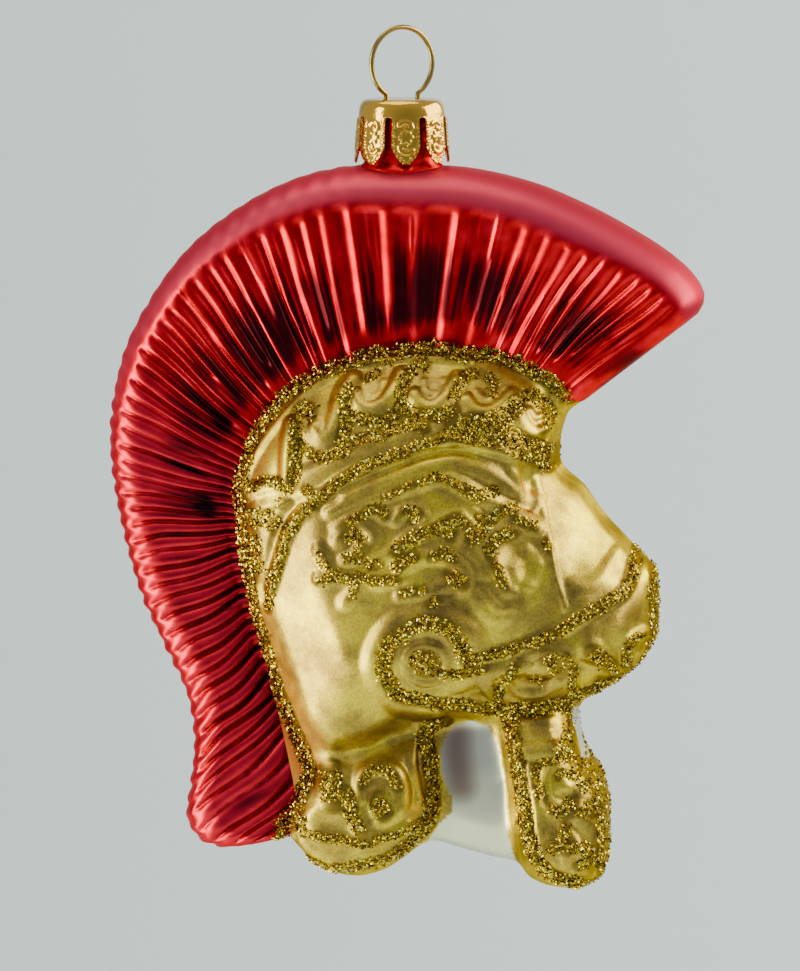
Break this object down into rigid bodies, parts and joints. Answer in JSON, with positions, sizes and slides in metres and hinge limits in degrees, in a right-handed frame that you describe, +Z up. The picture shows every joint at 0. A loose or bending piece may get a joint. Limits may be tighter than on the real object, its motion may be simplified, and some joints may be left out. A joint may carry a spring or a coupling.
{
  "type": "roman helmet glass ornament",
  "caption": "Blown-glass tree ornament in the shape of a crested officer's helmet, with gilt bowl, red plume crest, stamped metal cap and wire hanging loop.",
  "frame": {"origin": "hanging point, on the inside of the wire loop's top, where a hook carries the ornament", "axes": "+Z up, +X towards the helmet's front, +Y to the helmet's left side"},
  "size_m": [0.0849, 0.0462, 0.1235],
  "materials": {
    "lacquered_glass": "silvered inside, red and gold lacquer outside, glossy",
    "gold_sheet": "bright stamped sheet, gold-coloured",
    "brass_wire": "drawn wire, smooth",
    "gold_glitter": "gold glitter flakes in clear glue"
  },
  "bodies": {
    "root": {"glass_body": "lacquered_glass", "cap": "gold_sheet", "hanger_wire": "brass_wire", "right_crest_line": "gold_glitter", "right_diadem_line": "gold_glitter", "right_brow_line": "gold_glitter", "right_cheek_line": "gold_glitter", "right_neck_guard_line": "gold_glitter", "left_crest_line": "gold_glitter", "left_diadem_line": "gold_glitter", "left_brow_line": "gold_glitter", "left_cheek_line": "gold_glitter", "left_neck_guard_line": "gold_glitter"}
  },
  "joints": []
}
